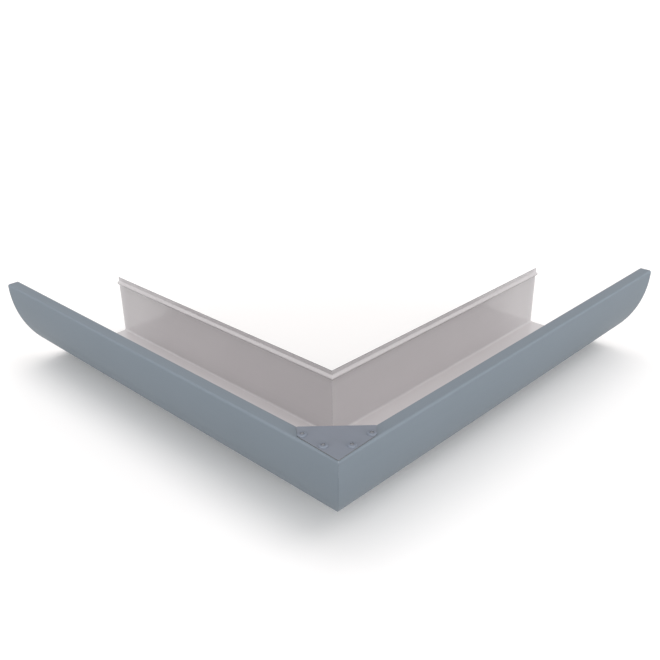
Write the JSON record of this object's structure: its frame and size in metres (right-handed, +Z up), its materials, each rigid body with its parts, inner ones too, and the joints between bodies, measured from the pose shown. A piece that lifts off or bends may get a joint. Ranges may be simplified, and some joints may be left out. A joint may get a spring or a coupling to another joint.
{
  "type": "gutter external angle",
  "caption": "Square outside corner for a curved-front eaves gutter: mitred prepainted steel arms joined by a riveted gusset over the front lips.",
  "frame": {"origin": "middle of the bounding box, at the height of the flat underside", "axes": "+Z up; the right arm runs along +X and the left arm along +Y from the mitred outside corner, which points to -X -Y; the building's corner is the inside corner of the back walls at x = y = -0.0924"},
  "size_m": [0.4152, 0.4152, 0.0883],
  "materials": {
    "gutter_paint": "satin blue-grey coil coating outside, pale warm-grey backing coat inside",
    "gusset_paint": "satin blue-grey coil coating",
    "rivet_paint": "satin painted rivet head"
  },
  "bodies": {
    "root": {"left_gutter_arm": "gutter_paint", "right_gutter_arm": "gutter_paint", "corner_gusset": "gusset_paint", "gusset_rivet_1": "rivet_paint", "gusset_rivet_2": "rivet_paint", "gusset_rivet_3": "rivet_paint", "gusset_rivet_4": "rivet_paint"}
  },
  "joints": []
}
